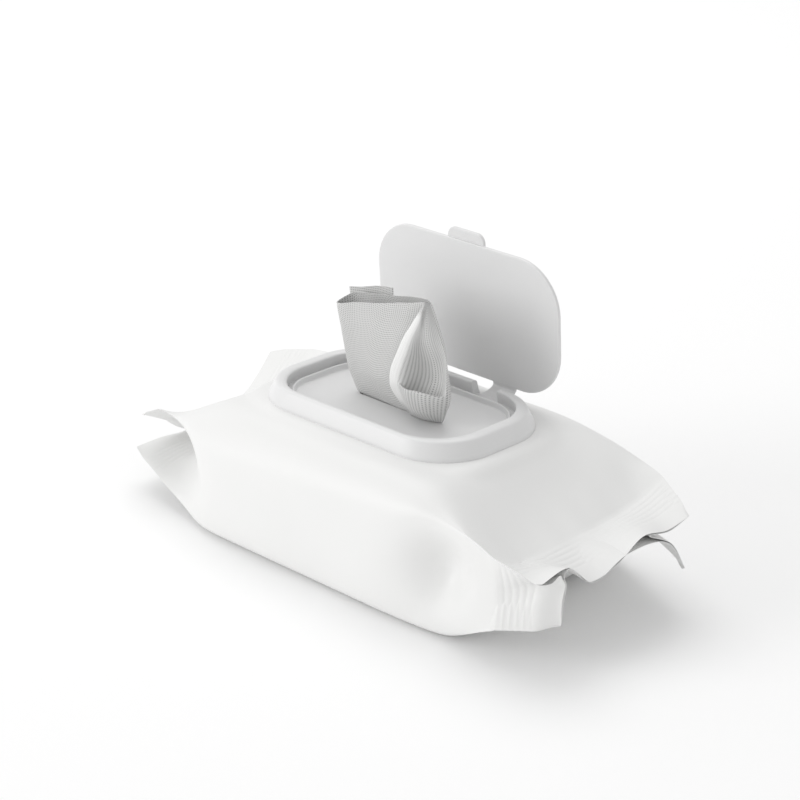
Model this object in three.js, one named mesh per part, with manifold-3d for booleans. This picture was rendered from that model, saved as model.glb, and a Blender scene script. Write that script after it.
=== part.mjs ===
// A flow-wrapped pack of wet wipes with a hinged dispenser lid, standing open.
// Millimetres, +Z up. X runs along the pack, -Y is the front, +Y the hinge side,
// and the origin is the centre of the footprint on the surface the pack lies on.
import * as THREE from 'three';
import { mergeVertices } from 'three/addons/utils/BufferGeometryUtils.js';
import Module from 'manifold-3d';

const wasm = await Module();
wasm.setup();

// ---- Driving dimensions -------------------------------------------------

const PACK_HEIGHT = 59.4;          // top film where the dispenser is glued on
const FILM = 1.0;                  // wall of the wrap, folds and laminate together
const STACK_GAP = 2.4;             // from the outside of the wrap to the wipes
const STACK_ENDS = [-62, 55];      // where the folded wipes end along the pack
const CAVITY_ENDS = [-86, 86];     // the wrap is hollow up to where its ends close

const PLATE = 61.4;                // top of the slotted plate
const FRAME_FOOT = 60.4;           // underside of the dispenser frame
const RIM_TOP = 67.8;
const LIP_TOP = 63.9;
const GROOVE_FLOOR = 62.2;
const FOOT_OUTLINE = { halfX: 59, halfY: 34.6, radius: 25.8 };
const WELL_OUTLINE = { halfX: 50, halfY: 29.3, radius: 21 };

const GLUE = { low: 59.7, high: 60.1, outer: 1.4, inner: 5.2 };
const FILM_OPENING = { halfX: 44, halfY: 23, radius: 17 };

const SLOT = { halfX: 22.8, halfY: 1.7 };

const HINGE = { y: 34.3, z: 61.0 };
const STRAP = { centreX: 20.6, halfX: 6.3, thickness: 0.8 };
const NOTCH = { halfX: 7.1, innerY: 29.0, flangeY: 33.5 };

const LID = { halfX: 51.8, height: 60.4, radius: 21.5, thickness: 1.6 };
const LID_FOOT = { y: 41.5, z: 64.9 };   // lower edge of the inner face, lid open
const LID_ANGLE = 86.5;                  // from closed to the open stop, degrees
const TAB = { halfX: 10.2, reach: 4.6, root: 7, thickness: 1.4, radius: 4, sunk: 0.6 };

const CORNER_STEPS = 7;
const WIPE_SIDES = 20;
const FACE_GAP = 0.3;              // clearance between pieces that touch

const COLOURS = {
  film: { color: 0xf1f1f0, roughness: 0.5 },
  moulding: { color: 0xe9e9e8, roughness: 0.35 },
  wipe: { color: 0xf4f4f2, roughness: 0.95 },
  glue: { color: 0xe6e4da, roughness: 0.6 },
};

// ---- Solids from stacks of rings ----------------------------------------

// A closed solid through rings of equal point count, with a fan over each end.
function loft(rings) {
  const count = rings[0].length;
  const points = rings.flat();
  const index = [];
  for (let r = 0; r + 1 < rings.length; r += 1) {
    for (let i = 0; i < count; i += 1) {
      const a = r * count + i;
      const b = r * count + ((i + 1) % count);
      index.push(a, b, b + count, a, b + count, a + count);
    }
  }
  capEnd(rings[0], 0, true, points, index);
  capEnd(rings.at(-1), (rings.length - 1) * count, false, points, index);
  const geometry = new THREE.BufferGeometry();
  geometry.setAttribute('position', new THREE.Float32BufferAttribute(points.flat(), 3));
  geometry.setIndex(index);
  return outward(geometry);
}

// Closes one end: ear-cut in the plane that shows the ring's largest area.
function capEnd(ring, first, flip, points, index) {
  const spanX = Math.max(...ring.map((p) => p[0])) - Math.min(...ring.map((p) => p[0]));
  const spanZ = Math.max(...ring.map((p) => p[2])) - Math.min(...ring.map((p) => p[2]));
  const flat = spanZ < spanX
    ? ring.map((p) => new THREE.Vector2(p[0], p[1]))
    : ring.map((p) => new THREE.Vector2(p[1], p[2]));
  const clockwise = THREE.ShapeUtils.isClockWise(flat);
  for (const [a, b, c] of THREE.ShapeUtils.triangulateShape(flat, [])) {
    const keep = clockwise === flip;
    index.push(first + a, first + (keep ? b : c), first + (keep ? c : b));
  }
}

function signedVolume(geometry) {
  const p = geometry.getAttribute('position');
  const [a, b, c] = [new THREE.Vector3(), new THREE.Vector3(), new THREE.Vector3()];
  let six = 0;
  for (let i = 0; i < geometry.index.count; i += 3) {
    a.fromBufferAttribute(p, geometry.index.getX(i));
    b.fromBufferAttribute(p, geometry.index.getX(i + 1));
    c.fromBufferAttribute(p, geometry.index.getX(i + 2));
    six += a.dot(b.cross(c));
  }
  return six / 6;
}

// Turns every face over when the solid came out inside out.
function outward(geometry) {
  if (signedVolume(geometry) < 0) {
    const index = geometry.index.array;
    for (let i = 0; i < index.length; i += 3) {
      [index[i + 1], index[i + 2]] = [index[i + 2], index[i + 1]];
    }
  }
  return geometry;
}

// ---- Joining and cutting --------------------------------------------------

function toSolid(geometry) {
  const bare = geometry.clone();
  bare.deleteAttribute('normal');
  bare.deleteAttribute('uv');
  const merged = mergeVertices(bare, 1e-4);
  return new wasm.Manifold(new wasm.Mesh({
    numProp: 3,
    vertProperties: new Float32Array(merged.getAttribute('position').array),
    triVerts: new Uint32Array(merged.index.array),
  }));
}

function toGeometry(solid) {
  const mesh = solid.getMesh();
  const geometry = new THREE.BufferGeometry();
  geometry.setAttribute('position', new THREE.BufferAttribute(mesh.vertProperties, 3));
  geometry.setIndex(new THREE.BufferAttribute(mesh.triVerts, 1));
  return geometry;
}

function cut(body, ...tools) {
  return toGeometry(tools.reduce((rest, tool) => rest.subtract(toSolid(tool)), toSolid(body)));
}

function box(low, high) {
  const size = high.map((value, axis) => value - low[axis]);
  const centre = high.map((value, axis) => (value + low[axis]) / 2);
  return new THREE.BoxGeometry(...size).translate(...centre);
}

// ---- Outlines ---------------------------------------------------------------

// Rounded rectangle in the XY plane, as a ring at height z.
function roundedRing({ halfX, halfY, radius }, z) {
  const ring = [];
  for (let quarter = 0; quarter < 4; quarter += 1) {
    const sideX = quarter === 0 || quarter === 3 ? 1 : -1;
    const sideY = quarter < 2 ? 1 : -1;
    for (let i = 0; i <= CORNER_STEPS; i += 1) {
      const angle = (quarter + i / CORNER_STEPS) * (Math.PI / 2);
      ring.push([
        sideX * (halfX - radius) + radius * Math.cos(angle),
        sideY * (halfY - radius) + radius * Math.sin(angle),
        z,
      ]);
    }
  }
  return ring;
}

function inset({ halfX, halfY, radius }, distance) {
  return { halfX: halfX - distance, halfY: halfY - distance, radius: radius - distance };
}

// Outline between the frame's foot (share 0) and the edge of its well (share 1).
function rimOutline(share) {
  const mix = (key) => THREE.MathUtils.lerp(FOOT_OUTLINE[key], WELL_OUTLINE[key], share);
  return { halfX: mix('halfX'), halfY: mix('halfY'), radius: mix('radius') };
}

function roundedPlate(outline, low, high) {
  return loft([roundedRing(outline, low), roundedRing(outline, high)]);
}

// ---- The wrap ---------------------------------------------------------------

// Cross-sections of the wrap, looking along +X: top film from the rear edge to the
// front edge, front gusset from top to bottom, bottom film from front to rear, rear
// gusset from bottom to top. Each point is [y, z]. The end seals are the outermost two
// at each end, where the films are pressed together and only their corners stand apart.
const BODY_SIDE = [[-58, 36], [-58.3, 25], [-58, 12]];
const BODY_REAR = [[58, 12], [58.3, 26], [58, 36]];
const BODY_BASE = [[-57, 1.5], [-50, 0], [-24, 0], [0, 0], [24, 0], [50, 0], [57, 1.5]];
const SECTIONS = [
  { x: -126,
    top: [[42, 41], [32.5, 30.5], [16, 18.5], [0, 16.5], [-14, 18.5], [-27, 27.5], [-38, 32]],
    front: [[-26, 25.6], [-12, 16], [-27, 17.4]],
    base: [[-41.5, 17], [-29, 15.6], [-15, 14.6], [0, 13.8], [15, 14], [29, 14.6], [41, 15.5]],
    rear: [[28, 16.4], [15, 16], [33.5, 28]] },
  { x: -103,
    top: [[47, 46], [34, 35], [17, 23], [0, 18.5], [-17, 22], [-33, 37], [-45, 43.5]],
    front: [[-31, 33.5], [-17, 18.5], [-32, 17.5]],
    base: [[-47, 12], [-32, 14.5], [-17, 15.3], [0, 15], [17, 15], [33, 14], [46, 12]],
    rear: [[32, 16.5], [17, 18], [32, 31]] },
  { x: -88,
    top: [[50, 48], [36, 45], [18, 37], [0, 34], [-18, 36], [-36, 45], [-49, 45.5]],
    front: [[-42, 37], [-33, 26], [-42, 15]],
    base: [[-51.5, 7], [-36, 6], [-18, 4], [0, 4], [18, 4], [36, 5], [50, 8]],
    rear: [[42, 16], [33, 26], [42, 37]] },
  { x: -74,
    top: [[53, 48], [42, 54], [20, 52], [0, 51], [-20, 51], [-42, 52.5], [-53.5, 47]],
    front: [[-51, 38], [-47, 27], [-52, 13]],
    base: [[-55, 2.5], [-40, 1], [-20, 0], [0, 0], [20, 0], [38, 1], [53, 4]],
    rear: [[50, 14], [46, 27], [50, 38]] },
  { x: -64,
    top: [[54.5, 46], [46, 56], [24, 59], [0, 59], [-24, 58.5], [-45, 54], [-55.5, 44]],
    front: [[-57, 35], [-57.5, 26], [-57.5, 14]],
    base: BODY_BASE,
    rear: [[57, 13], [57.3, 27], [56.5, 36]] },
  { x: -40,
    top: [[56, 47], [48, 57], [26, 59.4], [0, 59.4], [-26, 59.4], [-47, 56.5], [-56.5, 46]],
    front: BODY_SIDE, base: BODY_BASE, rear: BODY_REAR },
  { x: 40,
    top: [[56.5, 50], [49, 57.5], [28, 59.4], [0, 59.4], [-28, 59.4], [-50, 57.8], [-57, 50]],
    front: BODY_SIDE, base: BODY_BASE, rear: BODY_REAR },
  { x: 62,
    top: [[55, 51], [47, 57.5], [25, 59.2], [0, 59.2], [-25, 59], [-49, 58], [-56, 52]],
    front: [[-56, 40], [-55.5, 26], [-56.5, 12]],
    base: [[-56.5, 1.5], [-48, 0], [-24, 0], [0, 0], [24, 0], [46, 0], [55, 1.5]],
    rear: [[56, 13], [55.5, 28], [55.5, 40]] },
  { x: 78,
    top: [[53, 52], [44, 56], [22, 54], [0, 52.5], [-22, 51.5], [-44, 53], [-55, 53]],
    front: [[-54, 42], [-53, 28], [-54, 14]],
    base: [[-55.5, 1.5], [-42, 0.3], [-20, 0.3], [0, 0.8], [20, 1.5], [40, 3], [53, 6]],
    rear: [[50.5, 17], [47, 29], [50.5, 42]] },
  { x: 91,
    top: [[50, 50], [39, 47.5], [18, 45], [0, 43.5], [-20, 43], [-42, 44.5], [-55, 51]],
    front: [[-53.5, 42], [-52.5, 28], [-53, 16]],
    base: [[-54.5, 8], [-46, 12], [-22, 16], [0, 17], [20, 17], [38, 14], [50, 13]],
    rear: [[44, 22], [34, 32], [42, 42]] },
  { x: 103,
    top: [[47, 46.5], [33, 41.5], [15, 38.8], [-4, 38.6], [-22, 38.4], [-40, 38.4], [-54.5, 46]],
    front: [[-53, 38], [-52, 30], [-52, 22]],
    base: [[-53, 15], [-49, 26], [-40, 35], [-22, 36.4], [-4, 36.8], [18, 35.6], [44, 22]],
    rear: [[32, 31], [21, 37.1], [34, 39.8]] },
  { x: 126,
    top: [[36.5, 41], [22, 39.2], [6, 41.8], [-9, 35], [-25, 33.4], [-38, 44], [-54, 42]],
    front: [[-47, 40.5], [-46, 36], [-47.5, 28]],
    base: [[-48.5, 19.5], [-44.8, 32], [-38.5, 41.5], [-25, 31.8], [-8, 33.2], [8, 38], [31, 20.5]],
    rear: [[20, 30.4], [9.5, 39.6], [22, 37.6]] },
];
const SAMPLES_PER_EDGE = 2;
const RINGS = { skin: 37, cavity: 25, stack: 9 };
const ROUNDING = 1;                // averaging passes that round a section's corners

const sectionPoints = SECTIONS.map((s) => [...s.top, ...s.front, ...s.base, ...s.rear].flat());

// Slopes of a curve through the sections that never overshoots them.
function gentleSlopes(values) {
  const rise = values.slice(1).map((v, i) => (v - values[i]) / (SECTIONS[i + 1].x - SECTIONS[i].x));
  return values.map((_, i) => {
    const [before, after] = [rise[i - 1] ?? rise[0], rise[i] ?? rise.at(-1)];
    return before * after <= 0 ? 0 : (2 * before * after) / (before + after);
  });
}

const sectionSlopes = sectionPoints[0]
  .map((_, k) => gentleSlopes(sectionPoints.map((row) => row[k])));

function sectionAt(x) {
  const upper = SECTIONS.findIndex((s) => s.x >= x - 1e-9);
  const i = Math.max(1, upper) - 1;
  const span = SECTIONS[i + 1].x - SECTIONS[i].x;
  const t = (x - SECTIONS[i].x) / span;
  const [h00, h10] = [(1 + 2 * t) * (1 - t) ** 2, t * (1 - t) ** 2];
  const [h01, h11] = [t * t * (3 - 2 * t), t * t * (t - 1)];
  const flat = sectionPoints[i].map((value, k) => h00 * value + h01 * sectionPoints[i + 1][k]
    + span * (h10 * sectionSlopes[k][i] + h11 * sectionSlopes[k][i + 1]));
  return Array.from({ length: flat.length / 2 }, (_, k) => [flat[2 * k], flat[2 * k + 1]]);
}

function rounded(outline, passes) {
  let points = outline;
  for (let pass = 0; pass < passes; pass += 1) {
    points = points.map((p, i) => {
      const [before, after] = [points.at(i - 1), points[(i + 1) % points.length]];
      return [0, 1].map((k) => 0.5 * p[k] + 0.25 * (before[k] + after[k]));
    });
  }
  return points;
}

// The wrap's outline at x, moved inwards by depth along its own normal.
function wrapRing(x, depth) {
  const corners = sectionAt(x);
  const outline = corners.flatMap(([y, z], i) => {
    const [nextY, nextZ] = corners[(i + 1) % corners.length];
    return Array.from({ length: SAMPLES_PER_EDGE }, (_, j) => [
      THREE.MathUtils.lerp(y, nextY, j / SAMPLES_PER_EDGE),
      THREE.MathUtils.lerp(z, nextZ, j / SAMPLES_PER_EDGE),
    ]);
  });
  const smooth = rounded(outline, ROUNDING);
  return smooth.map(([y, z], i) => {
    const [before, after] = [smooth.at(i - 1), smooth[(i + 1) % smooth.length]];
    const along = new THREE.Vector2(after[0] - before[0], after[1] - before[1]).normalize();
    return [x, y - along.y * depth, z + along.x * depth];
  });
}

function wrapBetween([start, end], count, depth) {
  const at = (i) => THREE.MathUtils.lerp(start, end, i / (count - 1));
  return loft(Array.from({ length: count }, (_, i) => wrapRing(at(i), depth)));
}

// ---- Pieces -----------------------------------------------------------------

function filmPouch() {
  const skin = wrapBetween([SECTIONS[0].x, SECTIONS.at(-1).x], RINGS.skin, 0);
  const cavity = wrapBetween(CAVITY_ENDS, RINGS.cavity, FILM);
  const opening = roundedPlate(FILM_OPENING, PACK_HEIGHT - 6, PACK_HEIGHT + 2);
  return cut(skin, cavity, opening);
}

function wipeStack() {
  return wrapBetween(STACK_ENDS, RINGS.stack, STACK_GAP);
}

function adhesiveRing() {
  const hole = roundedPlate(inset(FOOT_OUTLINE, GLUE.inner), GLUE.low - 1, GLUE.high + 1);
  return cut(roundedPlate(inset(FOOT_OUTLINE, GLUE.outer), GLUE.low, GLUE.high), hole);
}

// The frame in one closed profile: hollow underside of the rim, foot, outer wall,
// crown, undercut well wall, groove, sealing lip, and the slotted plate.
function dispenserFrame() {
  const rim = (share, z) => roundedRing(rimOutline(share), z);
  const well = (distance, z) => roundedRing(inset(WELL_OUTLINE, distance), z);
  const body = loft([
    well(4.6, FRAME_FOOT), rim(0.62, FRAME_FOOT), rim(0.62, RIM_TOP - 3),
    rim(0.48, RIM_TOP - 3), rim(0.36, FRAME_FOOT + 3), rim(0.26, FRAME_FOOT),
    rim(0, FRAME_FOOT), rim(0, FRAME_FOOT + 1), rim(0.1, FRAME_FOOT + 3.2),
    rim(0.24, FRAME_FOOT + 5.4), rim(0.4, RIM_TOP - 0.4), rim(0.58, RIM_TOP),
    rim(0.9, RIM_TOP), rim(1, RIM_TOP - 0.5), rim(0.82, GROOVE_FLOOR),
    well(1.1, GROOVE_FLOOR), well(1.2, LIP_TOP - 0.2), well(1.6, LIP_TOP),
    well(2.1, LIP_TOP - 0.2), well(4.6, PLATE),
  ]);
  const slot = roundedPlate(
    { ...SLOT, radius: SLOT.halfY - 0.01 }, FRAME_FOOT - 1, PLATE + 1);
  const notches = [-1, 1].flatMap((side) => {
    const [lowX, highX] = [side * STRAP.centreX - NOTCH.halfX, side * STRAP.centreX + NOTCH.halfX];
    return [
      box([lowX, NOTCH.innerY, PLATE], [highX, FOOT_OUTLINE.halfY + 2, RIM_TOP + 2]),
      box([lowX, NOTCH.flangeY, FRAME_FOOT - 1], [highX, FOOT_OUTLINE.halfY + 2, RIM_TOP]),
    ];
  });
  return cut(body, slot, ...notches);
}

// The lid stands in its own frame: X across, Y up from its lower edge, and Z towards
// the well, so that its inner face is at 0 and its wall and tab lie behind it.
function lidPlate() {
  const outline = { halfX: LID.halfX, halfY: LID.height / 2, radius: LID.radius };
  const tabOutline = { halfX: TAB.halfX, halfY: (TAB.reach + TAB.root) / 2, radius: TAB.radius };
  const level = (shape, distance, z) => roundedRing(inset(shape, distance), z);
  const panel = loft([
    level(outline, 0.5, 0), level(outline, 0.1, -0.25), level(outline, 0, -0.7),
    level(outline, 0.25, 0.3 - LID.thickness), level(outline, 0.9, -LID.thickness),
  ]).translate(0, LID.height / 2, 0);
  const tab = loft([
    level(tabOutline, 0.3, 0), level(tabOutline, 0, -0.3),
    level(tabOutline, 0, 0.3 - TAB.thickness), level(tabOutline, 0.3, -TAB.thickness),
  ]).translate(0, LID.height + (TAB.reach - TAB.root) / 2, TAB.sunk - LID.thickness);
  return toGeometry(toSolid(panel).add(toSolid(tab)));
}

// Curved strap from the hinge line up to the lid's lower edge, extruded across.
function hingeStrap() {
  const half = STRAP.thickness / 2;
  const top = LID_FOOT.z - FACE_GAP;
  const midline = new THREE.CubicBezierCurve(
    new THREE.Vector2(HINGE.y, HINGE.z),
    new THREE.Vector2(HINGE.y + 4, HINGE.z + 0.4),
    new THREE.Vector2(LID_FOOT.y + 0.9, top - 2.6),
    new THREE.Vector2(LID_FOOT.y + 0.8, top));
  const steps = 8;
  const offset = (side) => Array.from({ length: steps + 1 }, (_, i) => {
    const along = midline.getTangent(i / steps);
    return midline.getPoint(i / steps)
      .add(new THREE.Vector2(-along.y, along.x).multiplyScalar(side * half));
  });
  const shape = new THREE.Shape([...offset(1), ...offset(-1).reverse()]);
  const strap = new THREE.ExtrudeGeometry(shape, { depth: 2 * STRAP.halfX, bevelEnabled: false });
  // Shape X and Y become the pack's Y and Z, and the extrusion runs along X.
  const toPack = new THREE.Matrix4().makeBasis(
    new THREE.Vector3(0, 1, 0), new THREE.Vector3(0, 0, 1), new THREE.Vector3(1, 0, 0));
  return strap.applyMatrix4(toPack).translate(-STRAP.halfX, 0, 0);
}

// The wipe that stands in the slot, as its plain outer form from the stack to its tip.
function dispensedWipe() {
  const levels = [
    { z: 57.6, x: 0, y: 0, halfX: 21, halfY: 1.1 }, { z: 61.8, x: 0, y: 0, halfX: 21, halfY: 1.1 },
    { z: 66, x: 1, y: -2, halfX: 24, halfY: 6 }, { z: 74, x: 0, y: -4, halfX: 27, halfY: 9 },
    { z: 88, x: -2, y: -4, halfX: 28, halfY: 8 }, { z: 100, x: -5, y: -3, halfX: 27, halfY: 6 },
    { z: 110, x: -6, y: -2, halfX: 24, halfY: 4 },
  ];
  return loft(levels.map((level) => Array.from({ length: WIPE_SIDES }, (_, i) => {
    const angle = (2 * Math.PI * i) / WIPE_SIDES;
    return [
      level.x + level.halfX * Math.cos(angle),
      level.y + level.halfY * Math.sin(angle),
      level.z,
    ];
  })));
}

// ---- Assembly ---------------------------------------------------------------

function piece(name, geometry, finish) {
  const mesh = new THREE.Mesh(geometry, new THREE.MeshStandardMaterial(finish));
  mesh.name = name;
  return mesh;
}

const pack = new THREE.Group();
pack.add(piece('film_pouch', filmPouch(), COLOURS.film));
pack.add(piece('wipe_stack', wipeStack(), COLOURS.wipe));
pack.add(piece('dispensed_wipe', dispensedWipe(), COLOURS.wipe));
pack.add(piece('adhesive_ring', adhesiveRing(), COLOURS.glue));
pack.add(piece('dispenser_frame', dispenserFrame(), COLOURS.moulding));

const lid = piece('lid', lidPlate(), COLOURS.moulding);
lid.position.set(0, LID_FOOT.y, LID_FOOT.z);
lid.rotation.x = THREE.MathUtils.degToRad(180 - LID_ANGLE);
pack.add(lid);

for (const [name, side] of [['hinge_strap_left', -1], ['hinge_strap_right', 1]]) {
  const strap = piece(name, hingeStrap(), COLOURS.moulding);
  strap.position.x = side * STRAP.centreX;
  pack.add(strap);
}

export default pack;
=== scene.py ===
"""A flow-wrapped pack of wet wipes: the looks of every piece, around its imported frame.

Metres, +Z up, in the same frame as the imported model. Sizes inside the classes are in
millimetres, as such a pack is drawn, and become metres when a mesh is made.
"""

import logging
import math
from dataclasses import dataclass, field
from enum import Enum
from typing import Sequence

import bmesh
import bpy
import numpy as np
from mathutils import Matrix, Vector, noise


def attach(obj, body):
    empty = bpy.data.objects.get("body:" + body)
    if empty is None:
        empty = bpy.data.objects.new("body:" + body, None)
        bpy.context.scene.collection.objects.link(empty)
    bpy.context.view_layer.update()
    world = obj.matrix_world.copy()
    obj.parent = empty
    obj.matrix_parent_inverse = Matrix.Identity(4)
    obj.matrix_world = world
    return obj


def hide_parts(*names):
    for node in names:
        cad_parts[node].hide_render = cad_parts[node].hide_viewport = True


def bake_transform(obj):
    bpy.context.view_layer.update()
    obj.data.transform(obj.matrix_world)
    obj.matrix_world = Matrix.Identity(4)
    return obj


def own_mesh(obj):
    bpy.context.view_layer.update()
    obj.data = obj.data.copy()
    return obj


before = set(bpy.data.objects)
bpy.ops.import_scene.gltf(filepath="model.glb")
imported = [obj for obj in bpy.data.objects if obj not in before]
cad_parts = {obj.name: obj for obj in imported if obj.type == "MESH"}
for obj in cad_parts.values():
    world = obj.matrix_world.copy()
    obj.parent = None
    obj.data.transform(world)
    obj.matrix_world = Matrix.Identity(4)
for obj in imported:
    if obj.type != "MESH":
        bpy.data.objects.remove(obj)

LOG = logging.getLogger("wipes_pack")
MM = 0.001
STRAP_X = 20.6
Point = Sequence[float]


class Body(str, Enum):
    """The two bodies that the joint connects."""

    PACK = "pack"
    LID = "lid_assembly"


# ---- Materials ---------------------------------------------------------------


def linear(hex_colour: str) -> tuple[float, float, float, float]:
    """Turns an sRGB hex colour into a linear RGBA one.

    Args:
        hex_colour: Six hex digits, such as "f0f0ee".

    Returns:
        The linear colour with an alpha of 1.
    """
    values = [int(hex_colour[i:i + 2], 16) / 255 for i in (0, 2, 4)]
    curved = [v / 12.92 if v <= 0.04045 else ((v + 0.055) / 1.055) ** 2.4 for v in values]
    return (curved[0], curved[1], curved[2], 1.0)


def add_node(tree: bpy.types.NodeTree, kind: str, settings: dict | None = None,
             links: dict | None = None) -> bpy.types.Node:
    """Adds one node with its settings and its incoming links.

    Args:
        tree: The node tree that gets the node.
        kind: The node's Blender type name.
        settings: Attribute values by name, and input values by socket name or number.
        links: Output sockets by the name or number of the input that they feed.

    Returns:
        The new node.
    """
    node = tree.nodes.new(kind)
    for key, value in (settings or {}).items():
        if isinstance(key, str) and hasattr(node, key):
            setattr(node, key, value)
        else:
            node.inputs[key].default_value = value
    for key, output in (links or {}).items():
        tree.links.new(output, node.inputs[key])
    return node


def object_place(tree: bpy.types.NodeTree) -> bpy.types.NodeSocket:
    """The place of each shaded point in its object, in metres."""
    return add_node(tree, "ShaderNodeTexCoord").outputs["Object"]


def noise_at(tree: bpy.types.NodeTree, place: bpy.types.NodeSocket, size_mm: float,
             detail: float) -> bpy.types.NodeSocket:
    """Noise with features of about one size.

    Args:
        tree: The material's nodes.
        place: Where to sample it.
        size_mm: The features' size, in millimetres.
        detail: How many finer layers it has.

    Returns:
        The noise, from 0 to 1.
    """
    settings = {"Scale": 1 / (size_mm * MM), "Detail": detail}
    return add_node(tree, "ShaderNodeTexNoise", settings, {"Vector": place}).outputs["Fac"]


def relief(tree: bpy.types.NodeTree, height: bpy.types.NodeSocket, strength: float, depth_mm: float,
           under: bpy.types.NodeSocket | None = None) -> bpy.types.NodeSocket:
    """The normal of a surface with a fine relief.

    Args:
        tree: The material's nodes.
        height: The relief, from 0 to 1.
        strength: How much of it shows.
        depth_mm: Its depth, in millimetres.
        under: The normal of a coarser relief that this one lies on, or None.

    Returns:
        The normal.
    """
    links = {"Height": height}
    if under is not None:
        links["Normal"] = under
    settings = {"Strength": strength, "Distance": depth_mm * MM}
    return add_node(tree, "ShaderNodeBump", settings, links).outputs["Normal"]


def calculated(tree: bpy.types.NodeTree, operation: str,
               *values: bpy.types.NodeSocket | float) -> bpy.types.NodeSocket:
    """The result of one math node.

    Args:
        tree: The material's nodes.
        operation: Blender's name of the operation.
        values: Its inputs in order, each a socket or a number.

    Returns:
        The result.
    """
    node = add_node(tree, "ShaderNodeMath", {"operation": operation})
    for socket, value in zip(node.inputs, values):
        if isinstance(value, float):
            socket.default_value = value
        else:
            tree.links.new(value, socket)
    return node.outputs[0]


@dataclass(frozen=True)
class Finish:
    """What every finish here shares: a name, a colour and a plain shader."""

    name: str
    colour: str
    roughness: float
    ior: float = 1.5

    def material(self) -> bpy.types.Material:
        """Builds the material.

        Returns:
            A material whose nodes dress() has added to.
        """
        material = bpy.data.materials.new(self.name)
        material.use_nodes = True
        tree = material.node_tree
        shader = tree.nodes["Principled BSDF"]
        shader.inputs["Base Color"].default_value = linear(self.colour)
        shader.inputs["Roughness"].default_value = self.roughness
        shader.inputs["IOR"].default_value = self.ior
        self.dress(tree, shader)
        return material

    def dress(self, tree: bpy.types.NodeTree, shader: bpy.types.Node) -> None:
        """Adds the finish's own pattern. The plain finish has none.

        Args:
            tree: The material's nodes.
            shader: Its principled shader.
        """

    def vary_gloss(self, tree: bpy.types.NodeTree, shader: bpy.types.Node,
                   cause: bpy.types.NodeSocket, change: tuple[float, float]) -> None:
        """Lets the roughness follow a pattern.

        Args:
            tree: The material's nodes.
            shader: Its principled shader.
            cause: The pattern, from 0 to 1.
            change: What is added to the roughness where the pattern is 0, and where it is 1.
        """
        low, high = change
        limits = {"To Min": self.roughness + low, "To Max": self.roughness + high}
        gloss = add_node(tree, "ShaderNodeMapRange", limits, {"Value": cause})
        tree.links.new(gloss.outputs["Result"], shader.inputs["Roughness"])


@dataclass(frozen=True)
class WrapFilm(Finish):
    """Laminated polypropylene and polyethylene film, printed matt white.

    The eye gets a soft satin sheet whose highlights break over shallow waves, because
    the film is slack, and a faint mottle where the ink lies over the laminate. Each
    relief is its strength and its depth in millimetres.
    """

    wave_mm: float = 16.0
    wave_relief: tuple[float, float] = (0.16, 0.6)
    mottle_mm: float = 2.2
    mottle_relief: tuple[float, float] = (0.05, 0.05)
    gloss_change: tuple[float, float] = (-0.05, 0.07)

    def dress(self, tree: bpy.types.NodeTree, shader: bpy.types.Node) -> None:
        """Adds slack waves, ink mottle and an uneven gloss."""
        place = object_place(tree)
        waves = relief(tree, noise_at(tree, place, self.wave_mm, 3.0), *self.wave_relief)
        mottle = noise_at(tree, place, self.mottle_mm, 2.0)
        tree.links.new(relief(tree, mottle, *self.mottle_relief, waves), shader.inputs["Normal"])
        self.vary_gloss(tree, shader, mottle, self.gloss_change)


@dataclass(frozen=True)
class MouldedPolypropylene(Finish):
    """Polypropylene moulded in a spark-eroded tool.

    The eye gets an even satin white with a very fine grain, which is drawn three times
    as coarse as the real 0.1 mm so that it shows, and a little light inside the wall.
    """

    grain_mm: float = 0.3
    grain_relief: tuple[float, float] = (0.06, 0.04)
    flow_mm: float = 22.0
    gloss_change: tuple[float, float] = (-0.04, 0.06)
    glow: float = 0.08
    glow_reach_mm: float = 1.6

    def dress(self, tree: bpy.types.NodeTree, shader: bpy.types.Node) -> None:
        """Adds the tool's grain, the plastic's flow and the wall's faint glow."""
        place = object_place(tree)
        grain = noise_at(tree, place, self.grain_mm, 1.0)
        tree.links.new(relief(tree, grain, *self.grain_relief), shader.inputs["Normal"])
        self.vary_gloss(tree, shader, noise_at(tree, place, self.flow_mm, 1.0), self.gloss_change)
        shader.inputs["Subsurface Weight"].default_value = self.glow
        shader.inputs["Subsurface Radius"].default_value = (self.glow_reach_mm,) * 3
        shader.inputs["Subsurface Scale"].default_value = 1.0 * MM


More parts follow.
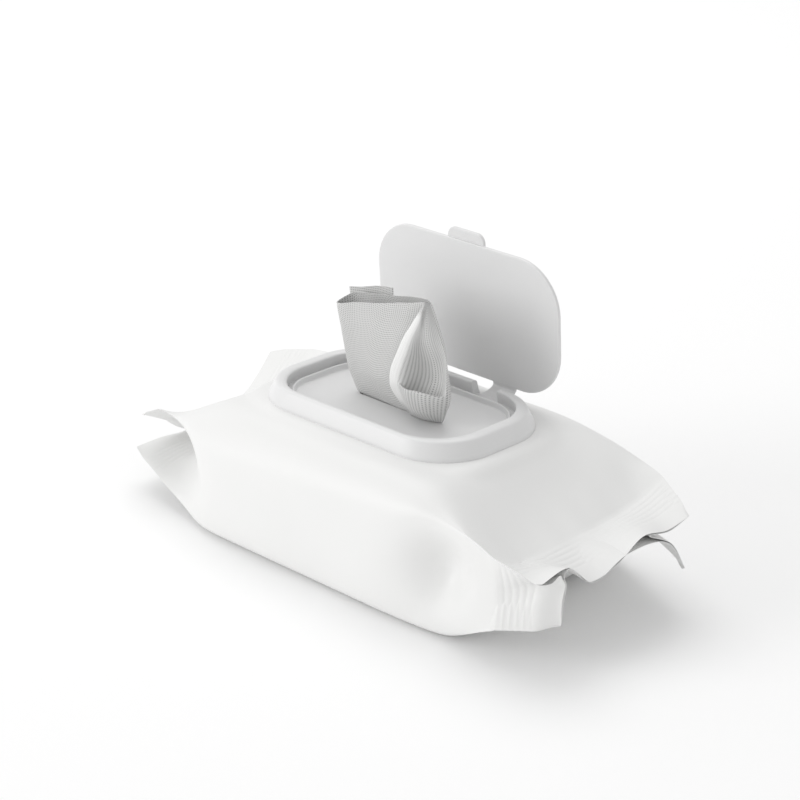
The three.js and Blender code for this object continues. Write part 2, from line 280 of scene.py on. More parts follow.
@dataclass(frozen=True)
class SpunlaceNonwoven(Finish):
    """Spunlace viscose and polyester, damp, with a square embossed grid.

    The eye gets a soft cloth of fine ribs with a pit at each crossing, painted darker as
    painted shade, and loose fibres that catch a little light at the edges. One damp layer
    lets light through and looks grey; the rolled band, two layers thick and facing the
    light, is painted whiter: the two layers' own whiteness plus a painted highlight.
    """

    pitch_mm: float = 1.0
    # painted shade: the colour painted into each embossed pit, where the relief is lowest
    pit_shade_colour: str = "767675"
    pit_shade_sharpness: float = 1.6
    # the two layers' own whiteness plus a painted highlight: the colour painted onto the rolled band's
    # front
    doubled_and_highlight_colour: str = "f1f1f0"
    fibres_per_mm: float = 1.4
    grid_relief: tuple[float, float] = (0.5, 0.22)
    sheen: tuple[float, float] = (0.15, 0.6)

    def dress(self, tree: bpy.types.NodeTree, shader: bpy.types.Node) -> None:
        """Adds the embossed grid from the cloth's own flat coordinates."""
        flat = add_node(tree, "ShaderNodeUVMap", {"uv_map": "weave"}).outputs["UV"]
        axes = add_node(tree, "ShaderNodeSeparateXYZ", None, {"Vector": flat})
        troughs = []
        for axis in ("X", "Y"):
            turn = calculated(tree, "MULTIPLY", axes.outputs[axis], math.pi / self.pitch_mm)
            troughs.append(calculated(tree, "POWER", calculated(tree, "COSINE", turn), 2.0))
        fibres = add_node(tree, "ShaderNodeTexNoise", {"Scale": self.fibres_per_mm, "Detail": 4.0},
                          {"Vector": flat})
        ribs = calculated(tree, "ADD", *troughs)
        height = calculated(tree, "MULTIPLY_ADD", ribs, -0.5, fibres.outputs["Fac"])
        # painted shade: the colour is darkened where both troughs meet, at the relief's lowest points
        pit_shade = calculated(tree, "POWER", calculated(tree, "MULTIPLY", *troughs), self.pit_shade_sharpness)
        pit_shaded_tint = add_node(tree, "ShaderNodeMix",
                        {"data_type": "RGBA", 6: linear(self.colour), 7: linear(self.pit_shade_colour)},
                        {0: pit_shade})
        # painted highlight, partly the two layers' own whiteness: the mask that whitens the rolled band's
        # front
        layers = add_node(tree, "ShaderNodeAttribute", {"attribute_name": "doubled_and_highlight"}).outputs["Fac"]
        doubled_and_highlight_tint = add_node(tree, "ShaderNodeMix", {"data_type": "RGBA", 7: linear(self.doubled_and_highlight_colour)},
                          {0: layers, 6: pit_shaded_tint.outputs[2]})
        weight, roughness = self.sheen
        shader.inputs["Sheen Weight"].default_value = weight
        shader.inputs["Sheen Roughness"].default_value = roughness
        tree.links.new(doubled_and_highlight_tint.outputs[2], shader.inputs["Base Color"])
        tree.links.new(relief(tree, height, *self.grid_relief), shader.inputs["Normal"])


@dataclass(frozen=True)
class FoldedNonwoven(Finish):
    """The stacked wipes seen as one block: damp cloth with a line for every six or so layers."""

    layer_mm: float = 0.7
    line_relief: tuple[float, float] = (0.5, 0.3)

    def dress(self, tree: bpy.types.NodeTree, shader: bpy.types.Node) -> None:
        """Adds the lines. The texture turns by 20 radians a unit, so a line spans 2 pi layers."""
        layers = add_node(tree, "ShaderNodeTexWave",
                          {"bands_direction": "Z", "Scale": 1 / (self.layer_mm * MM * 20),
                           "Distortion": 1.5, "Detail": 2.0}, {"Vector": object_place(tree)})
        tree.links.new(relief(tree, layers.outputs["Fac"], *self.line_relief), shader.inputs["Normal"])


@dataclass(frozen=True)
class HotMelt(Finish):
    """Cured hot-melt adhesive: waxy, slightly yellow, with the ripple of its bead."""

    ripple_mm: float = 3.0
    ripple_relief: tuple[float, float] = (0.3, 0.1)

    def dress(self, tree: bpy.types.NodeTree, shader: bpy.types.Node) -> None:
        """Adds the ripple of the bead."""
        ripple = noise_at(tree, object_place(tree), self.ripple_mm, 1.0)
        tree.links.new(relief(tree, ripple, *self.ripple_relief), shader.inputs["Normal"])


@dataclass(frozen=True)
class MattPaper(Finish):
    """Seamless white studio paper, dull and even."""


FILM_FINISH = WrapFilm("laminated_matt_wrap_film", "e9e9e8", 0.44)
MOULDED_FINISH = MouldedPolypropylene("moulded_white_polypropylene", "e1e1e1", 0.36)
CLOTH_FINISH = SpunlaceNonwoven("damp_spunlace_nonwoven", "d4d4d3", 0.9)
STACK_FINISH = FoldedNonwoven("folded_spunlace_stack", "f0f0ee", 0.9)
GLUE_FINISH = HotMelt("cured_hot_melt", "e3dfd0", 0.5)
PAPER_FINISH = MattPaper("studio_paper", "fdfdfd", 0.95)


# ---- Curves through chosen points ----------------------------------------------


def hermite(knots: np.ndarray, values: np.ndarray, before: np.ndarray, after: np.ndarray,
            at: np.ndarray) -> np.ndarray:
    """Evaluates a curve through its knots.

    Args:
        knots: Rising positions of the k known values.
        values: The known values, k rows.
        before: Slope arriving at each knot.
        after: Slope leaving each knot.
        at: Positions to evaluate.

    Returns:
        One row of values for each position.
    """
    i = np.clip(np.searchsorted(knots, at, side="right") - 1, 0, len(knots) - 2)
    span = knots[i + 1] - knots[i]
    t = np.clip((at - knots[i]) / span, 0, 1)
    shape = (-1,) + (1,) * (values.ndim - 1)
    t, span = t.reshape(shape), span.reshape(shape)
    return ((1 + 2 * t) * (1 - t) ** 2 * values[i] + t * (1 - t) ** 2 * span * after[i]
            + t * t * (3 - 2 * t) * values[i + 1] + t * t * (t - 1) * span * before[i + 1])


def gentle_slopes(knots: np.ndarray, values: np.ndarray,
                  breaks: Sequence[float] = ()) -> tuple[np.ndarray, np.ndarray]:
    """Slopes of a curve that never overshoots its values.

    Args:
        knots: Positions of the values.
        values: The values, one row for each knot.
        breaks: Knots where the curve may turn sharply.

    Returns:
        The slope arriving at each knot, and the slope leaving it.
    """
    shape = (-1,) + (1,) * (values.ndim - 1)
    rise = np.diff(values, axis=0) / np.diff(knots).reshape(shape)
    arriving = np.concatenate([rise[:1], rise])
    leaving = np.concatenate([rise, rise[-1:]])
    total = arriving + leaving
    safe = np.where(np.abs(total) < 1e-12, 1.0, total)
    slope = np.where(arriving * leaving > 0, 2 * arriving * leaving / safe, 0.0)
    sharp = np.isin(knots, breaks).reshape(shape)
    return np.where(sharp, arriving, slope), np.where(sharp, leaving, slope)


def smooth_curve(points: np.ndarray, count: int, closed: bool = False,
                 spacing: np.ndarray | None = None) -> np.ndarray:
    """Runs a smooth curve through points and samples it.

    Args:
        points: The points, k rows, or k rows of m columns for m curves at once.
        count: How many samples to take.
        closed: True if the curve returns to its first point, which isn't sampled twice.
        spacing: Positions of the samples from 0 to 1, or None for even ones.

    Returns:
        The samples, count rows.
    """
    if closed:
        points = np.concatenate([points[-2:], points, points[:3]])
    steps = np.diff(points, axis=0)
    length = np.linalg.norm(steps, axis=-1)
    if length.ndim > 1:
        length = length.mean(axis=tuple(range(1, length.ndim)))
    knots = np.concatenate([[0], np.cumsum(np.maximum(length, 1e-6))])
    shape = (-1,) + (1,) * (points.ndim - 1)
    rise = steps / np.diff(knots).reshape(shape)
    weight = np.diff(knots).reshape(shape)
    inner = (rise[:-1] * weight[1:] + rise[1:] * weight[:-1]) / (weight[1:] + weight[:-1])
    slope = np.concatenate([rise[:1], inner, rise[-1:]])
    start, end = (knots[2], knots[-3]) if closed else (knots[0], knots[-1])
    share = np.linspace(0, 1, count, endpoint=not closed) if spacing is None else spacing
    return hermite(knots, points, slope, slope, start + share * (end - start))


def smoothstep(value: np.ndarray, low: float, high: float) -> np.ndarray:
    """Rises smoothly from 0 at low to 1 at high, or falls if low is the larger."""
    t = np.clip((value - low) / (high - low), 0, 1)
    return t * t * (3 - 2 * t)


def bell(value: np.ndarray, centre: float, width: float) -> np.ndarray:
    """A smooth hump of height 1 at centre."""
    return np.exp(-((value - centre) / width) ** 2)


# ---- Meshes -------------------------------------------------------------------


@dataclass(frozen=True)
class Outline:
    """A rounded rectangle at a height: half sizes, corner radius and z, in millimetres."""

    half_x: float
    half_y: float
    radius: float
    z: float = 0.0

    def inset(self, distance: float, z: float) -> "Outline":
        """The outline moved in by a distance, at another height."""
        return Outline(self.half_x - distance, self.half_y - distance,
                       max(self.radius - distance, 0.2), z)

    def towards(self, other: "Outline", share: float, z: float) -> "Outline":
        """The outline part of the way to another one, at another height."""
        mixed = [a + (b - a) * share for a, b in zip(self.values()[:3], other.values()[:3])]
        return Outline(*mixed, z)

    def values(self) -> tuple[float, float, float, float]:
        """The four numbers, for mixing."""
        return (self.half_x, self.half_y, self.radius, self.z)

    def points(self, steps: int) -> list[Vector]:
        """The outline as points.

        Args:
            steps: Steps in each corner's quarter turn.

        Returns:
            Points in metres, anticlockwise from the +X side.
        """
        ring = []
        for quarter, (side_x, side_y) in enumerate(((1, 1), (-1, 1), (-1, -1), (1, -1))):
            for i in range(steps + 1):
                angle = (quarter + i / steps) * math.pi / 2
                ring.append(Vector((side_x * (self.half_x - self.radius) + self.radius * math.cos(angle),
                                    side_y * (self.half_y - self.radius) + self.radius * math.sin(angle),
                                    self.z)) * MM)
        return ring


def filleted(profile: Sequence[Outline], radius: float, steps: int = 4) -> list[Outline]:
    """Rounds the corners of a profile of outlines.

    Args:
        profile: The outlines at the profile's corners.
        radius: How far along each side of a corner the rounding reaches, in millimetres.
        steps: Steps in each rounding.

    Returns:
        More outlines, with each inner corner rounded.
    """
    corners = [np.array(outline.values()) for outline in profile]
    path = [corners[0]]
    for here, last, following in zip(corners[1:-1], corners[:-2], corners[2:]):
        reach = []
        for other in (last, following):
            length = max(np.linalg.norm((other - here)[[1, 3]]), 1e-6)
            reach.append(here + (other - here) * min(radius / length, 0.45))
        for i in range(steps + 1):
            t = i / steps
            path.append((1 - t) ** 2 * reach[0] + 2 * t * (1 - t) * here + t * t * reach[1])
    path.append(corners[-1])
    return [Outline(*point) for point in path]


def stack_of_rings(mesh: bmesh.types.BMesh, outlines: Sequence[Outline], steps: int,
                   closed: bool) -> None:
    """Extrudes a ring of edges from outline to outline.

    Args:
        mesh: The mesh that gets the surface.
        outlines: The outlines to pass through.
        steps: Steps in each corner.
        closed: True joins the last ring to the first; False fills both ends.
    """
    verts = [mesh.verts.new(p) for p in outlines[0].points(steps)]
    edges = [mesh.edges.new((a, b)) for a, b in zip(verts, verts[1:] + verts[:1])]
    first = list(edges)
    for outline in outlines[1:]:
        made = bmesh.ops.extrude_edge_only(mesh, edges=edges)["geom"]
        edges = [item for item in made if isinstance(item, bmesh.types.BMEdge)
                 and len(item.link_faces) == 1]
        moved = {}
        for face in (item for item in made if isinstance(item, bmesh.types.BMFace)):
            for edge in face.edges:
                ends = [v for v in edge.verts if v in verts]
                if len(ends) == 1:
                    moved[verts.index(ends[0])] = edge.other_vert(ends[0])
        verts = [moved[i] for i in range(len(verts))]
        for vert, place in zip(verts, outline.points(steps)):
            vert.co = place
    if closed:
        bmesh.ops.bridge_loops(mesh, edges=first + edges)
    else:
        for loop in (first, edges):
            bmesh.ops.contextual_create(mesh, geom=loop)
    bmesh.ops.recalc_face_normals(mesh, faces=mesh.faces)


def new_object(name: str, mesh: bmesh.types.BMesh, finish: Finish | None = None,
               sharp_degrees: float = 40.0) -> bpy.types.Object:
    """Turns a bmesh into an object of the scene.

    Args:
        name: The object's name.
        mesh: The finished bmesh, which is freed.
        finish: Its finish, or None for a cutting tool.
        sharp_degrees: Edges that turn more than this stay sharp.

    Returns:
        The object, at the origin.
    """
    data = bpy.data.meshes.new(name)
    mesh.to_mesh(data)
    mesh.free()
    data.shade_smooth()
    data.set_sharp_from_angle(angle=math.radians(sharp_degrees))
    made = bpy.data.objects.new(name, data)
    bpy.context.scene.collection.objects.link(made)
    if finish is not None:
        data.materials.append(finish.material())
    return made


def with_modifiers(target: bpy.types.Object, *, sharp_degrees: float = 40.0) -> bpy.types.Object:
    """Makes an object's modifiers part of its mesh.

    Args:
        target: The object.
        sharp_degrees: Edges that turn more than this stay sharp.

    Returns:
        The same object, with no modifiers left.
    """
    graph = bpy.context.evaluated_depsgraph_get()
    data = bpy.data.meshes.new_from_object(target.evaluated_get(graph))
    target.modifiers.clear()
    target.data = data
    data.shade_smooth()
    data.set_sharp_from_angle(angle=math.radians(sharp_degrees))
    return target


def combined(target: bpy.types.Object, tools: Sequence[bpy.types.Object],
             operation: str) -> bpy.types.Object:
    """Cuts or joins an object with others, which are then removed.

    Args:
        target: The object that stays.
        tools: The objects that cut it or join it.
        operation: "DIFFERENCE" or "UNION".

    Returns:
        The changed object.
    """
    for tool in tools:
        change = target.modifiers.new("shape", "BOOLEAN")
        change.operation, change.solver, change.object = operation, "EXACT", tool
    with_modifiers(target)
    for tool in tools:
        bpy.data.objects.remove(tool)
    return target


def solid_box(name: str, low: Point, high: Point, rounding: float) -> bpy.types.Object:
    """A box with rounded edges.

    Args:
        name: The object's name.
        low: Its lowest corner, in millimetres.
        high: Its highest corner, in millimetres.
        rounding: The edges' radius, in millimetres.

    Returns:
        The object.
    """
    mesh = bmesh.new()
    bmesh.ops.create_cube(mesh, size=1)
    centre = [(a + b) / 2 * MM for a, b in zip(low, high)]
    size = [(b - a) * MM for a, b in zip(low, high)]
    bmesh.ops.transform(mesh, verts=mesh.verts,
                        matrix=Matrix.Translation(centre) @ Matrix.Diagonal((*size, 1)))
    bmesh.ops.bevel(mesh, geom=mesh.edges[:], offset=rounding * MM, segments=3, profile=0.5,
                    affect="EDGES", material=-1)
    return new_object(name, mesh)


def placed_grid(across: int, along: int, place: np.ndarray, flat: np.ndarray | None = None,
                wraps: bool = False) -> bmesh.types.BMesh:
    """Lays a grid of faces over a surface.

    Args:
        across: Faces in the first direction.
        along: Faces in the second direction.
        place: Places in metres, along + 1 rows of across + 1 columns.
        flat: Flat coordinates in millimetres for a UV map named weave, or None.
        wraps: True if the last column lies on the first, so that the two are joined.

    Returns:
        The mesh.
    """
    mesh = bmesh.new()
    layer = mesh.loops.layers.uv.new("weave")
    bmesh.ops.create_grid(mesh, x_segments=across, y_segments=along, size=0.5, calc_uvs=True)
    for vert in mesh.verts:
        column, row = round((vert.co.x + 0.5) * across), round((vert.co.y + 0.5) * along)
        vert.co = place[row, column]
    if flat is not None:
        for face in mesh.faces:
            for loop in face.loops:
                column, row = round(loop[layer].uv.x * across), round(loop[layer].uv.y * along)
                loop[layer].uv = flat[row, column]
    if wraps:
        bmesh.ops.remove_doubles(mesh, verts=mesh.verts, dist=1e-7)
    return mesh


def finished(piece: bpy.types.Object, body: Body, slot: str, *nodes: str) -> bpy.types.Object:
    """Puts a piece on its body and reports it.

    Args:
        piece: The finished piece.
        body: The body that it rides on.
        slot: The record's material slot.
        nodes: The CAD nodes that it stands for.

    Returns:
        The piece.
    """
    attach(piece, body.value)
    report(piece, slot, *nodes)
    return piece


def report(piece: bpy.types.Object, slot: str, *nodes: str) -> None:
    """Hides a piece's CAD nodes, names them, and logs its size.

    Args:
        piece: The finished piece.
        slot: The record's material slot; not used.
        nodes: The CAD nodes that it stands for.
    """
    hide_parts(*nodes)
    LOG.info("%s: %d faces, stands for %s", piece.name, len(piece.data.polygons), ", ".join(nodes))


# ---- The wrap -------------------------------------------------------------------


@dataclass(frozen=True)
class Section:
    """One cross-section of the wrap, looking along +X. Each point is (y, z), in millimetres.

    top runs from the rear edge to the front one, front down the front gusset, base from
    the front edge to the rear one, and rear up the rear gusset.
    """

    x: float
    top: Sequence[Point]
    front: Sequence[Point]
    base: Sequence[Point]
    rear: Sequence[Point]

    def points(self) -> np.ndarray:
        """The section's 20 points in order."""
        return np.array([*self.top, *self.front, *self.base, *self.rear], float)


BODY_SIDE = ((-58, 36), (-58.3, 25), (-58, 12))
BODY_REAR = ((58, 12), (58.3, 26), (58, 36))
BODY_BASE = ((-57, 1.5), (-50, 0), (-24, 0), (0, 0), (24, 0), (50, 0), (57, 1.5))

SECTIONS = (
    Section(-126,
            ((42, 41), (32.5, 30.5), (16, 18.5), (0, 16.5), (-14, 18.5), (-27, 27.5), (-38, 32)),
            ((-26.2, 26.3), (-11, 16.6), (-27, 17.3)),
            ((-41.5, 17), (-28, 16.4), (-13, 15.6), (0, 15.7), (13, 15.4), (29, 14.8), (41, 15.5)),
            ((28, 15.8), (13, 16.2), (32, 28.9))),
    Section(-103,
            ((47, 46), (34, 35), (17, 23), (0, 18.5), (-17, 22), (-33, 37), (-45, 43.5)),
            ((-31.6, 34.6), (-15.5, 19.6), (-32, 15.6)),
            ((-47, 12), (-32, 14.7), (-15.5, 17.5), (0, 17.6), (15.5, 17.5), (33, 13.8), (46, 12)),
            ((32, 14.8), (15.5, 19.4), (32.6, 32.6))),
    Section(-88,
            ((50, 48), (36, 45), (18, 37), (0, 34), (-18, 36), (-36, 45), (-49, 45.5)),
            ((-42, 37), (-33, 26), (-42, 15)),
            ((-51.5, 7), (-36, 6), (-18, 4), (0, 4), (18, 4), (36, 5), (50, 8)),
            ((42, 16), (33, 26), (42, 37))),
    Section(-74,
            ((53, 48), (42, 54), (20, 52), (0, 51), (-20, 51), (-42, 52.5), (-53.5, 47)),
            ((-51, 38), (-47, 27), (-52, 13)),
            ((-55, 2.5), (-40, 1), (-20, 0), (0, 0), (20, 0), (38, 1), (53, 4)),
            ((50, 14), (46, 27), (50, 38))),
    Section(-64,
            ((54.5, 46), (46, 56), (24, 59), (0, 59), (-24, 58.5), (-45, 54), (-55.5, 44)),
            ((-57, 35), (-57.5, 26), (-57.5, 14)), BODY_BASE,
            ((57, 13), (57.3, 27), (56.5, 36))),
    Section(-40,
            ((56, 47), (48, 57), (26, 59.4), (0, 59.4), (-26, 59.4), (-47, 56.5), (-56.5, 46)),
            BODY_SIDE, BODY_BASE, BODY_REAR),
    Section(40,
            ((56.5, 50), (49, 57.5), (28, 59.4), (0, 59.4), (-28, 59.4), (-50, 57.8), (-57, 50)),
            BODY_SIDE, BODY_BASE, BODY_REAR),
    Section(62,
            ((55, 51), (47, 57.5), (25, 59.2), (0, 59.2), (-25, 59), (-49, 58), (-56, 52)),
            ((-56, 40), (-55.5, 26), (-56.5, 12)),
            ((-56.5, 1.5), (-48, 0), (-24, 0), (0, 0), (24, 0), (46, 0), (55, 1.5)),
            ((56, 13), (55.5, 28), (55.5, 40))),
    Section(78,
            ((53, 52), (44, 54.6), (22, 51.6), (0, 50), (-22, 49.4), (-44, 52), (-55, 53)),
            ((-54, 42), (-53, 28), (-54, 14)),
            ((-55.5, 1.5), (-42, 0.3), (-20, 0.3), (0, 0.8), (20, 1.5), (40, 3), (53, 6)),
            ((50.5, 17), (47, 29), (50.5, 42))),
    Section(91,
            ((50, 50), (39, 47.5), (18, 45), (0, 43.5), (-20, 43), (-42, 44.5), (-55, 51)),
            ((-53.5, 42), (-52.5, 28), (-53, 16)),
            ((-54.5, 8), (-46, 12), (-22, 16), (0, 17), (20, 17), (38, 14), (50, 13)),
            ((44, 22), (34, 32), (42, 42))),
    Section(103,
            ((47, 46.5), (33, 41.5), (15, 38.8), (-4, 38.6), (-22, 38.4), (-40, 38.4), (-54.5, 46)),
            ((-53, 38), (-52, 30), (-52, 22)),
            ((-53, 15), (-50.9, 27), (-42.5, 36.9), (-22, 37.6), (-4, 37.8), (17, 37.6), (44, 22)),
            ((33, 31.5), (19.5, 37.4), (33, 40.4))),
    Section(126,
            ((36.5, 41), (22, 39.2), (6, 41.8), (-9, 35), (-25, 33.4), (-38, 44), (-54, 42)),
            ((-47, 40.6), (-42.3, 42.3), (-44.8, 31)),
            ((-45, 19.5), (-43.4, 32), (-38.4, 43), (-23, 32.4), (-3, 37.2), (22.8, 33), (35, 16.8)),
            ((24.5, 32.4), (10.5, 40.6), (22, 38.3))),
)


@dataclass
class Wrap:
    """The film: a gusseted tube lofted through its sections and crimped at both ends."""

    sections: Sequence[Section] = SECTIONS
    seal_from: float = 103.0
    end: float = 126.0
    seal_step: float = 0.38
    body_step: float = 2.2
    run_ends: tuple[int, ...] = (0, 6, 10, 16, 20)
    run_faces: tuple[int, ...] = (72, 36, 72, 36)
    ring_passes: int = 14
    length_passes: int = 16
    film: float = 0.15
    opening: Outline = field(default_factory=lambda: Outline(44, 23, 17, 55))
    rib_pitch: float = 2.7
    rib_depth: float = 0.26
    ribs_end: float = 14.6
    rib_clearance: tuple[float, float] = (0.3, 2.4)
    dimple_depth: float = 9.0
    curl_depth: float = 4.0
    free_end: float = 9.0
    wave_depth: float = 0.9
    wave_length: float = 34.0
    gather_depth: float = 0.16
    gather_pitch: float = 15.0
    tip_radius: float = 2.2
    glued: Outline = field(default_factory=lambda: Outline(59, 34.6, 25.8, 59.9))

    def stations(self) -> np.ndarray:
        """Where the rings stand along X: close together in the seals, further apart between."""
        seal = np.arange(self.seal_from, self.end + 0.01, self.seal_step)
        body = np.linspace(-self.seal_from, self.seal_from,
                           round(2 * self.seal_from / self.body_step) + 1)[1:-1]
        return np.concatenate([-seal[::-1], body, seal])

    def rings(self, stations: np.ndarray) -> np.ndarray:
        """The wrap's outer surface before its dents and ribs.

        Args:
            stations: X of each ring, in millimetres.

        Returns:
            Places, one row for each ring, with the first point not repeated.
        """
        knots = np.array([section.x for section in self.sections], float)
        corners = np.array([section.points() for section in self.sections])
        before, after = gentle_slopes(knots, corners, (-self.seal_from, self.seal_from))
        at = hermite(knots, corners, before, after, stations)
        closed = np.concatenate([at, at[:, :1]], axis=1)
        rows = []
        for row in closed:
            parts = [smooth_curve(row[a:b + 1], faces + 1)[:-1]
                     for a, b, faces in zip(self.run_ends, self.run_ends[1:], self.run_faces)]
            rows.append(np.concatenate(parts))
        return self.softened(stations, np.array(rows))

    def softened(self, stations: np.ndarray, outline: np.ndarray) -> np.ndarray:
        """Rounds the body's edges and leaves the seals' folds crisp.

        Args:
            stations: X of each ring.
            outline: (y, z) of each ring's points.

        Returns:
            (x, y, z) of each ring's points.
        """
        body = smoothstep(np.abs(stations), self.seal_from, 80)[:, None, None]
        soft = outline.copy()
        for _ in range(self.ring_passes):
            soft = 0.5 * soft + 0.25 * (np.roll(soft, 1, axis=1) + np.roll(soft, -1, axis=1))
        mixed = outline + (soft - outline) * body
        for _ in range(self.length_passes):
            even = mixed.copy()
            even[1:-1] = 0.5 * mixed[1:-1] + 0.25 * (mixed[:-2] + mixed[2:])
            mixed = mixed + (even - mixed) * body
        x = np.broadcast_to(stations[:, None, None], mixed.shape[:2] + (1,))
        return np.concatenate([x, mixed], axis=2)

    def outward(self, rings: np.ndarray) -> np.ndarray:
        """Unit normals of a tube of rings, pointing out of the pack."""
        along = np.gradient(rings, axis=0)
        round_it = np.roll(rings, -1, axis=1) - np.roll(rings, 1, axis=1)
        normal = np.cross(along, round_it)
        normal /= np.maximum(np.linalg.norm(normal, axis=2, keepdims=True), 1e-9)
        middle = rings.mean(axis=1, keepdims=True)
        half = len(rings) // 2
        flip = np.sign(((rings - middle) * normal)[half].sum())
        return normal * flip

    def shaped(self) -> np.ndarray:
        """The outer surface with its ribs, dents and slack.

        Returns:
            Places in millimetres.
        """
        rings = self.rings(self.stations())
        normal = self.outward(rings)
        x, y, z = rings[..., 0], rings[..., 1], rings[..., 2]
        from_fold = self.from_fold(rings)
        depth = self.ribs(x, y) * smoothstep(from_fold, *self.rib_clearance) + self.slack(rings)
        rings = rings + normal * depth[..., None]
        rings[..., 1] += self.dimple(x, y, z)
        rings[..., 1] += self.curl(rings)
        rings[..., 2] += self.lift(rings)
        rings[..., 0] -= np.sign(x) * self.tip_cut(x, from_fold)
        rings[..., 2] = np.maximum(rings[..., 2], 0.0)
        return rings

    def dimple(self, x: np.ndarray, y: np.ndarray, z: np.ndarray) -> np.ndarray:
        """How far the front is pressed in, past the right end of the stack."""
        return self.dimple_depth * bell(x, 74, 12) * bell(z, 30, 14) * smoothstep(y, -42, -52)

    def from_fold(self, rings: np.ndarray) -> np.ndarray:
        """How far along its ring each point lies from the nearest of the four folds."""
        step = np.linalg.norm(np.roll(rings, -1, axis=1) - rings, axis=2)
        reach = np.cumsum(np.concatenate([np.zeros((len(rings), 1)), step], axis=1), axis=1)
        folds = np.cumsum((0, *self.run_faces))
        away = np.abs(reach[:, :-1, None] - reach[:, None, folds])
        return away.min(axis=2)

    def ribs(self, x: np.ndarray, y: np.ndarray) -> np.ndarray:
        """Depth of the crimping jaws' ribs, which fade towards the middle of the film."""
        into = np.abs(x) - self.seal_from
        band = smoothstep(into, 0.2, 1.2) * smoothstep(into, self.ribs_end, self.ribs_end - 1.5)
        grip = 1 - 0.9 * bell(y, -4, 13)
        line = 1 - np.abs(np.sin(np.pi * into / self.rib_pitch))
        return -self.rib_depth * band * grip * line ** 1.5

    def curl(self, rings: np.ndarray) -> np.ndarray:
        """How far the last millimetres of the front lower leaf turn in, away from the ribs."""
        x, y, z = rings[..., 0], rings[..., 1], rings[..., 2]
        reach = smoothstep(x, self.end - self.free_end, self.end) ** 1.5
        return self.curl_depth * reach * smoothstep(y, -34, -43) * smoothstep(z, 42, 36)

    def lift(self, rings: np.ndarray) -> np.ndarray:
        """How far the film is drawn up flat where the frame is glued to it."""
        x, y, z = rings[..., 0], rings[..., 1], rings[..., 2]
        across = (x / self.glued.half_x) ** 4 + (y / self.glued.half_y) ** 4
        held = smoothstep(across, 1.9, 1.05) * smoothstep(z, 50, 55)
        return (self.glued.z - z) * held

    def tip_cut(self, x: np.ndarray, from_fold: np.ndarray) -> np.ndarray:
        """How far the free end is drawn in beside each fold, which rounds its corners."""
        near = np.clip(self.tip_radius - from_fold, 0, self.tip_radius)
        loss = self.tip_radius - np.sqrt(self.tip_radius ** 2 - near ** 2)
        return loss * smoothstep(np.abs(x), self.end - self.free_end, self.end)

    def slack(self, rings: np.ndarray) -> np.ndarray:
        """Depth of the film's slack: slow waves on the body and short gathers by the seals."""
        x, y, z = rings[..., 0], rings[..., 1], rings[..., 2]
        body = smoothstep(np.abs(x), 100, 60) * smoothstep(z, 1.0, 8.0)
        clear_of_frame = 1 - bell(x, 0, 62) * bell(y, 0, 36) * smoothstep(z, 50, 57)
        waves = np.array([[noise.noise(Vector(p) / self.wave_length) for p in row] for row in rings])
        gathers = np.cos(2 * np.pi * y / self.gather_pitch + 0.4) * bell(np.abs(x), 97, 9)
        return self.wave_depth * waves * body * clear_of_frame + self.gather_depth * gathers

    def build(self) -> bpy.types.Object:
        """Makes the wrap.

        Returns:
            The finished piece.
        """
        rings = self.shaped()
        place = np.concatenate([rings, rings[:, :1]], axis=1) * MM
        mesh = placed_grid(place.shape[1] - 1, place.shape[0] - 1, place, wraps=True)
        for side in (-1, 1):
            rim = [edge for edge in mesh.edges if edge.is_boundary
                   and edge.verts[0].co.x * side > (self.end - 1) * MM]
            bmesh.ops.triangle_fill(mesh, edges=rim, use_beauty=True, normal=(side, 0, 0))
        bmesh.ops.recalc_face_normals(mesh, faces=mesh.faces)
        self.open_top(mesh)
        piece = new_object("wrap_film", mesh, FILM_FINISH, 55)
        wall = piece.modifiers.new("film", "SOLIDIFY")
        wall.thickness, wall.offset = self.film * MM, -1
        return finished(with_modifiers(piece, sharp_degrees=55), Body.PACK, "wrap_film", "film_pouch")

    def open_top(self, mesh: bmesh.types.BMesh) -> None:
        """Takes the film away under the dispenser's plate.

        Args:
            mesh: The closed skin.
        """
        reach = Vector((self.opening.half_x, self.opening.half_y)) * MM
        inside = []
        for face in mesh.faces:
            centre = face.calc_center_median()
            across = abs(centre.x / reach.x) ** 4 + abs(centre.y / reach.y) ** 4
            if centre.z > self.opening.z * MM and across < 1:
                inside.append(face)
        bmesh.ops.delete(mesh, geom=inside, context="FACES")


# ---- The dispenser ----------------------------------------------------------------


